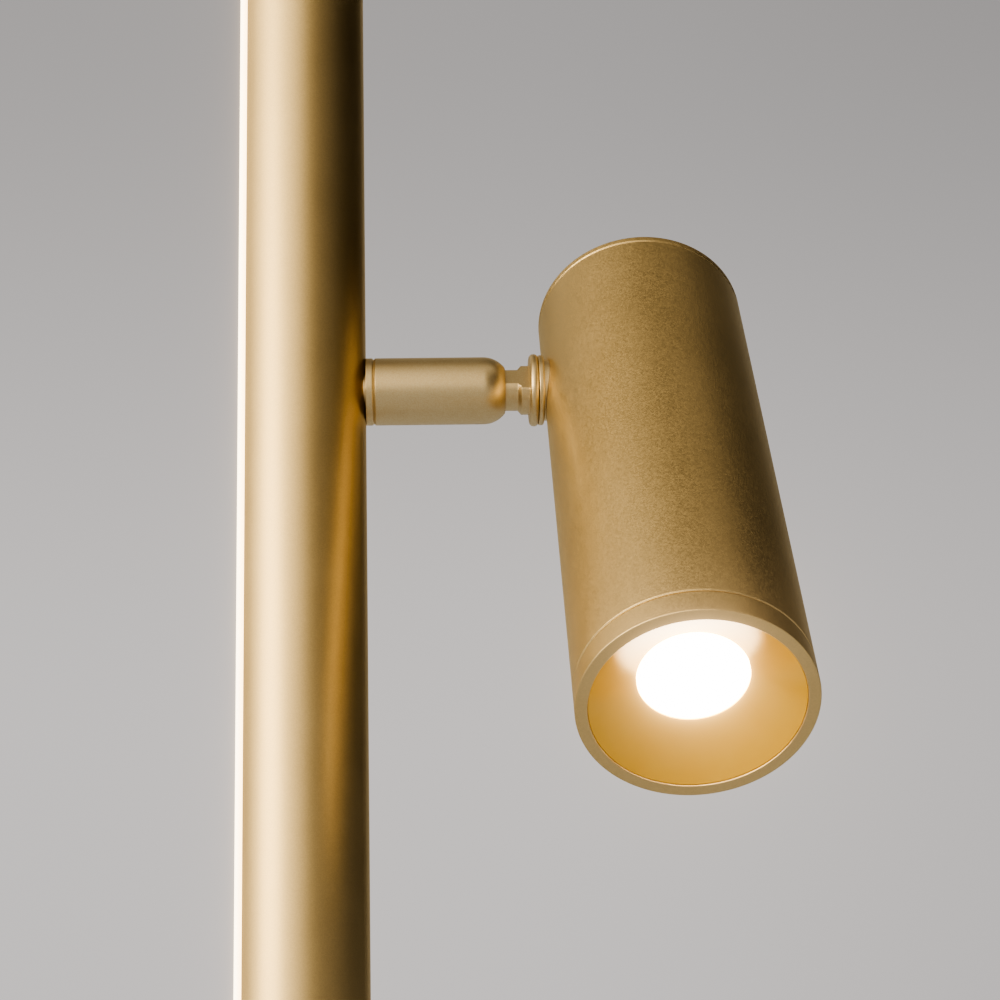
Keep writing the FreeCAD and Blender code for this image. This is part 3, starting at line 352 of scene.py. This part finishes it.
def chip_phosphor(name):
    chip = finish(name)
    place = chip.place()
    speck = chip.flakes(place, 0.15 * MM)
    return chip.surface(
        Base_Color=chip.mix(speck, (0.90, 0.72, 0.22), (0.98, 0.86, 0.42)),
        Roughness=0.45 + speck * 0.1,
        Emission_Color=(1.0, 0.86, 0.62),
        Emission_Strength=2.0,
    )


FINISHES = {
    "gold_pole": gold_paint(
        "pole paint", GOLD, GOLD_DEEP, rough=0.45, flake=0.22 * MM, grain=0.004 * MM, sparkle=0.03),
    "gold_steel": gold_paint(
        "foot paint", GOLD, GOLD_DEEP, rough=0.42, flake=0.24 * MM, grain=0.006 * MM, sparkle=0.04),
    "gold_head": gold_paint(
        "head paint", GOLD, GOLD_DEEP, rough=0.40, flake=0.34 * MM, grain=0.028 * MM, sparkle=0.18),
    "gold_turned": gold_paint(
        "turned paint", GOLD_PALE, GOLD_WARM, rough=0.40, flake=0.20 * MM, grain=0.004 * MM, sparkle=0.03),
    "reflector_gold": reflector_gold("spun gold"),
    "opal": lit_strip("lit strip"),
    "lens_opal": lit_lens("lit lens"),
    "rubber": soft_rubber("rubber"),
    "steel": plain_steel("steel"),
    "brass": turned_brass("brass"),
    "nylon": moulded("nylon", (0.72, 0.70, 0.64), (0.84, 0.82, 0.76), 0.5),
    "black_plastic": moulded("black plastic", (0.014, 0.014, 0.015), (0.030, 0.030, 0.031), 0.48),
    "board": moulded("white board", (0.78, 0.78, 0.75), (0.88, 0.88, 0.86), 0.38, 0.25),
    "chips": chip_phosphor("chip phosphor"),
    "sink": bare_aluminium("bare aluminium"),
    "wire": moulded("grey sheath", (0.42, 0.42, 0.42), (0.54, 0.54, 0.54), 0.55),
}

for part in frame["record"]["subparts"]:
    mesh = frame["nodes"][part["node"]].data
    mesh.materials.clear()
    mesh.materials.append(FINISHES[part["material_slot"]])


# ---------------------------------------------------------------- turned pieces
ARC_STEP = 12
SUPPORT = 0.08
LONGEST_SHARE = 0.48


def softened(corners):
    """Outline points (radius, height) from corners (radius, height, rounding), with arcs for roundings.

    A short straight run is kept beside each arc, so that the long walls next to it shade flat."""
    points = []
    count = len(corners)
    for index, (radius, height, rounding) in enumerate(corners):
        here = Vector((radius, height))
        if not rounding:
            points.append(here)
            continue
        before = Vector(corners[index - 1][:2]) - here
        after = Vector(corners[(index + 1) % count][:2]) - here
        opening = before.angle(after)
        shorter = min(before.length * LONGEST_SHARE, after.length * LONGEST_SHARE)
        reach = min(rounding / math.tan(opening / 2), shorter)
        before.normalize()
        after.normalize()
        centre = here + (before + after).normalized() * (reach / math.cos(opening / 2))
        first = here + before * reach - centre
        last = here + after * reach - centre
        turn = first.angle_signed(last)
        steps = max(2, math.ceil(abs(math.degrees(turn)) / ARC_STEP))
        points.append(centre + first + before * SUPPORT)
        for step in range(steps + 1):
            arm = first.copy()
            arm.rotate(Matrix.Rotation(-turn * step / steps, 2))
            points.append(centre + arm)
        points.append(centre + last + after * SUPPORT)
    return points


def piece(name, mesh, body, slot, nodes):
    """Show a finished mesh that rides on a body and stands for the given nodes."""
    thing = bpy.data.objects.new(name, mesh)
    scene.collection.objects.link(thing)
    mesh.materials.append(FINISHES[slot])
    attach(thing, body)
    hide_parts(*nodes)
    return thing


SHARP = math.radians(22)
SAME_POINT = 0.0005 * MM


def meshed(name, vertices, faces):
    """Mesh with the rows that lie on the axis drawn to one point."""
    mesh = bpy.data.meshes.new(name)
    shape = bmesh.new()
    placed = [shape.verts.new(vertex) for vertex in vertices]
    for face in faces:
        shape.faces.new([placed[index] for index in face])
    bmesh.ops.remove_doubles(shape, verts=shape.verts, dist=SAME_POINT)
    bmesh.ops.dissolve_degenerate(shape, edges=shape.edges, dist=SAME_POINT)
    bmesh.ops.recalc_face_normals(shape, faces=shape.faces)
    shape.to_mesh(mesh)
    shape.free()
    mesh.shade_smooth()
    mesh.set_sharp_from_angle(angle=SHARP)
    return mesh


def turned(name, place, corners, body, slot, nodes, around=192, shape=None):
    """A piece turned about a frame's axis from a closed half outline of (radius, height, rounding)."""
    outline = softened(corners)
    vertices, faces = [], []
    for point in outline:
        for step in range(around):
            angle = 2 * math.pi * step / around
            local = Vector((point.x * math.cos(angle), point.x * math.sin(angle), point.y))
            if shape:
                local = shape(local)
            vertices.append(place @ (local * MM))
    rows = len(outline)
    for row in range(rows):
        below, above = row * around, (row + 1) % rows * around
        if outline[row].x == 0 and outline[(row + 1) % rows].x == 0:
            continue
        for step in range(around):
            after = (step + 1) % around
            faces.append([below + step, below + after, above + after, above + step])
    return piece(name, meshed(name, vertices, faces), body, slot, nodes)


DOME_STEP = 4


def bend(radius, height, size, first, last):
    """Outline points round a corner's centre, from one angle above the radius to another."""
    count = round((last - first) / DOME_STEP)
    angles = [math.radians(first + (last - first) * index / count) for index in range(count + 1)]
    return [(radius + size * math.cos(angle), height + size * math.sin(angle), 0) for angle in angles]


# ---------------------------------------------------------------- arm, stud and head
def make_arm():
    """The flat-backed ring at the pole, and the barrel with its domed mouth."""
    ring_start = reach_of("arm_base", ARM)[1]
    radius, barrel_start, _ = reach_of("arm_barrel", ARM)
    pole_radius = reach_of("sleeve_tube", POLE)[0]
    nipple_radius = 5.0
    bore = 3.0
    groove = 0.45
    groove_edge = 0.08
    outer_edge = 0.15
    turned("arm_root_ring", ARM, [
        (bore, ring_start, 0),
        (nipple_radius, ring_start, 0),
        (nipple_radius, pole_radius, 0),
        (radius, pole_radius, outer_edge),
        (radius, barrel_start - groove, outer_edge),
        (radius - groove, barrel_start, groove_edge),
        (bore, barrel_start, 0),
    ], "pole", "gold_turned", ["arm_base"])
    dome_round = 7.5
    reach = 57.1
    straight = 0.3
    mouth = 6.1
    mouth_edge = 0.25
    lip = 0.1
    last = math.degrees(math.acos((mouth + mouth_edge - radius + dome_round) / dome_round))
    dome = bend(radius - dome_round, reach - dome_round, dome_round, 0, last)
    dome_top = dome[-1][1]
    turned("arm_socket", ARM, [
        (mouth, barrel_start, 0),
        (radius - groove, barrel_start, groove_edge),
        (radius, barrel_start + groove, outer_edge),
        (radius, reach - dome_round - straight, 0),
        *dome,
        (mouth, dome_top + lip, lip),
    ], "pole", "gold_turned", ["arm_barrel"])


COLLAR_END = 62.2


def flatted(local):
    """Cut two spanner flats on the neck and collar of the stud."""
    flat = 4.9
    flats_turn = math.radians(31)
    across = Vector((-math.sin(flats_turn), -math.cos(flats_turn), 0))
    if local.z > COLLAR_END:
        return local
    reach = local.dot(across)
    if abs(reach) > flat:
        local = local - across * (reach - math.copysign(flat, reach))
    return local


def make_stud():
    """The stud that turns in the barrel's mouth, and the ring that locks it to the head."""
    radius, _, end = reach_of("swivel_stud", ARM)
    bore = 2.6
    thread = 5.0
    thread_play = 0.05
    neck, neck_start, neck_end = 5.6, 54.0, 59.0
    collar, collar_start = 6.7, 60.0
    disc_end = 64.65
    turned("head_stud", ARM, [
        (bore, neck_start, 0),
        (neck, neck_start, 0),
        (neck, neck_end, 0.2),
        (collar, collar_start, 0.15),
        (collar, COLLAR_END, 0.1),
        (radius, COLLAR_END, 1.15),
        (radius, disc_end, 1.1),
        (thread, disc_end, 0),
        (thread, end, 0),
        (bore, end, 0),
    ], "head", "gold_turned", ["swivel_stud"], shape=flatted)
    ring_radius, ring_start, ring_end = reach_of("jam_ring", ARM)
    turned("head_lock_ring", ARM, [
        (thread + thread_play, ring_start, 0),
        (ring_radius, ring_start, 0.35),
        (ring_radius, ring_end, 0.6),
        (thread + thread_play, ring_end, 0),
    ], "head", "gold_turned", ["jam_ring"])


def make_head():
    """The head's tube, with its front band and rear cap set into the two ends."""
    radius, low, high = reach_of("head_shell", HEAD)
    front = reach_of("front_bezel", HEAD)[1]
    rear = reach_of("rear_cap", HEAD)[2]
    wall = 1.8
    bore = radius - wall
    seam = 0.3
    broad_seam = 0.6
    seam_edge = 0.1
    soft_edge = 0.5
    tube_edge = 0.2
    turned("head_tube", HEAD, [
        (bore, low, 0),
        (radius - seam, low, seam_edge),
        (radius, low + seam, tube_edge),
        (radius, high - seam, tube_edge),
        (radius - seam, high, seam_edge),
        (bore, high, 0),
    ], "head", "gold_head", ["head_shell"], around=256)
    play = 0.1
    seat = bore - play
    lip = 25.75
    rim_depth = 0.9
    band_wall = 0.9
    band_depth = 7
    turned("head_front_band", HEAD, [
        (lip, front, 0.25),
        (radius, front, 0.35),
        (radius, low - broad_seam, soft_edge),
        (radius - broad_seam, low, seam_edge),
        (seat, low, 0),
        (seat, low + band_depth, 0),
        (seat - band_wall, low + band_depth, 0),
        (seat - band_wall, front + rim_depth, 0),
        (lip, front + rim_depth, 0.1),
    ], "head", "gold_head", ["front_bezel"], around=256)
    cap_wall = 1.8
    cap_depth = 8
    rear_edge = 0.7
    turned("head_rear_cap", HEAD, [
        (0, high, 0),
        (seat - cap_wall, high, 0),
        (seat - cap_wall, high - cap_depth, 0),
        (seat, high - cap_depth, 0),
        (seat, high, 0),
        (radius - broad_seam, high, seam_edge),
        (radius, high + broad_seam, soft_edge),
        (radius, rear, rear_edge),
        (0, rear, 0),
    ], "head", "gold_head", ["rear_cap"], around=256)


def make_beam():
    """The cone inside the rim, and the lens in its small end."""
    front = reach_of("front_bezel", HEAD)[1]
    deep = reach_of("reflector", HEAD)[2]
    lens_radius, lens_low, lens_high = reach_of("lens", HEAD)
    play = 0.1
    throat = lens_radius + play
    throat_wall = 1.4
    mouth = 25.7
    mouth_start, mouth_end = 0.4, 2.2
    edge = 0.1
    turned("beam_cone", HEAD, [
        (mouth, front + mouth_start, edge),
        (throat, lens_low, edge),
        (throat, deep, 0),
        (throat + throat_wall, deep, 0),
        (mouth, front + mouth_end, 0),
    ], "head", "reflector_gold", ["reflector"], around=256)
    crown = 0.7
    margin = 0.5
    skirt = 0.3
    turned("beam_lens", HEAD, [
        (0, lens_low - crown, 0),
        (lens_radius * 0.35, lens_low - crown * 0.9, 0),
        (lens_radius * 0.7, lens_low - crown * 0.5, 0),
        (lens_radius - margin, lens_low - crown * 0.05, 0),
        (lens_radius, lens_low + skirt, 0.2),
        (lens_radius, lens_high, 0),
        (0, lens_high, 0),
    ], "head", "lens_opal", ["lens"])


make_arm()
make_stud()
make_head()
make_beam()


# ---------------------------------------------------------------- floor and light
def make_floor():
    """A plain pale floor, wide enough to meet the wall far away."""
    half = 30.0
    corners = [(-half, -half, 0), (half, -half, 0), (half, half, 0), (-half, half, 0)]
    mesh = bpy.data.meshes.new("floor")
    mesh.from_pydata(corners, [], [(0, 1, 2, 3)])
    floor = bpy.data.objects.new("floor", mesh)
    scene.collection.objects.link(floor)
    ground = finish("pale floor")
    patch_size = 0.4
    speck = ground.noise(ground.place(), patch_size, 2.0)
    mesh.materials.append(ground.surface(
        Base_Color=ground.mix(speck, (0.76, 0.82, 0.95), (0.80, 0.86, 0.98)),
        Roughness=0.75,
    ))


def towards(azimuth, elevation):
    """Unit vector. Azimuth 0 points at the photographer's side and grows to the right."""
    a, e = math.radians(azimuth), math.radians(elevation)
    return Vector((math.sin(a) * math.cos(e), -math.cos(a) * math.cos(e), math.sin(e)))


def make_studio():
    """Soft room light: a window at the front left, the ceiling, the rear left corner, the wall
    behind, and a dark doorway on the right. The camera sees a plain grey wall that darkens upwards
    and to the right."""
    warm = (1.0, 0.89, 0.67)
    grey_wall = (1.0, 0.965, 0.955)
    everywhere = 0.10
    wall_low, wall_fall, wall_right_fall = 0.478, 0.165, 0.12
    world = bpy.data.worlds.new("studio")
    scene.world = world
    room = Shader(world)
    way = room.node("ShaderNodeTexCoord", output="Generated")

    def glow(azimuth, elevation, inner, outer):
        """1 within inner degrees of a direction, fading to 0 at outer degrees."""
        near = room.node("ShaderNodeVectorMath", {"operation": "DOT_PRODUCT"},
                         {0: way, 1: towards(azimuth, elevation)}, "Value")
        return room.fade(near, math.cos(math.radians(outer)), math.cos(math.radians(inner)))

    window = glow(-53, 5, 5, 25) * 3.1 + glow(-48, 2, 13, 72) * 1.13
    ceiling = glow(58, 60, 2, 24) * 0.26 + glow(0, 56, 3, 36) * 0.25
    corner = glow(245, 52, 8, 42) * 0.30
    wall = glow(170, 10, 20, 62) * 0.20
    doorway = glow(104, 16, 24, 49) * 0.93
    others = ceiling + corner + wall + everywhere
    strength = (window + others) * (1.0 - doorway)
    light = room.scaled(warm, strength)
    sideways, _, height = room.parts(way)
    backdrop = wall_low - room.fade(height, 0.16, 0.50) * wall_fall
    backdrop = backdrop * (1.0 - room.fade(sideways, 0.02, 0.30) * wall_right_fall)
    grey = room.scaled(grey_wall, backdrop)
    seen = room.node("ShaderNodeLightPath", output="Is Camera Ray")
    colour = room.mix(seen, light, grey)
    background = room.node("ShaderNodeBackground", {}, {"Color": colour, "Strength": 1.0})
    room.node("ShaderNodeOutputWorld", {}, {"Surface": background})


make_floor()
make_studio()


# ---------------------------------------------------------------- camera
def make_camera():
    """The photographer's place: below the head, looking up along +Y."""
    focal_pixels = 2431.955
    picture_pixels = 1000
    sensor = 36.0
    position = Vector((28.082, -633.848, 1238.736)) * MM
    heading, climb, roll = 2.301, 15.845, -1.345
    forward = towards(180 - heading, climb)
    level = forward.cross(Vector((0, 0, 1))).normalized()
    upright = level.cross(forward)
    lean = math.radians(roll)
    right = level * math.cos(lean) + upright * math.sin(lean)
    up = right.cross(forward)
    data = bpy.data.cameras.new("camera")
    data.sensor_width = sensor
    data.lens = sensor * focal_pixels / picture_pixels
    data.clip_start = 0.01
    data.clip_end = 100.0
    camera = bpy.data.objects.new("camera", data)
    camera.matrix_world = Matrix((
        (right.x, up.x, -forward.x, position.x),
        (right.y, up.y, -forward.y, position.y),
        (right.z, up.z, -forward.z, position.z),
        (0, 0, 0, 1),
    ))
    scene.collection.objects.link(camera)
    scene.camera = camera


make_camera()
scene.view_settings.view_transform = "AgX"
scene.view_settings.look = "AgX - Very High Contrast"


# ---------------------------------------------------------------- veil of light round the lit parts
def make_veil():
    """Let the brightest parts glow a little past their edges, as in a real lens."""
    scene.use_nodes = True
    desk = scene.node_tree
    desk.nodes.clear()
    shot = desk.nodes.new("CompositorNodeRLayers")
    veil = desk.nodes.new("CompositorNodeGlare")
    shown = desk.nodes.new("CompositorNodeComposite")
    veil.glare_type = "BLOOM"
    veil.quality = "HIGH"
    settings = {
        "Threshold": 1.0,
        "Clamp": True,
        "Maximum": 6.0,
        "Strength": 0.8,
        "Size": 0.6,
        "Tint": (1.0, 0.80, 0.55, 1.0),
    }
    for name, value in settings.items():
        veil.inputs[name].default_value = value
    desk.links.new(shot.outputs["Image"], veil.inputs["Image"])
    desk.links.new(veil.outputs["Image"], shown.inputs["Image"])


make_veil()
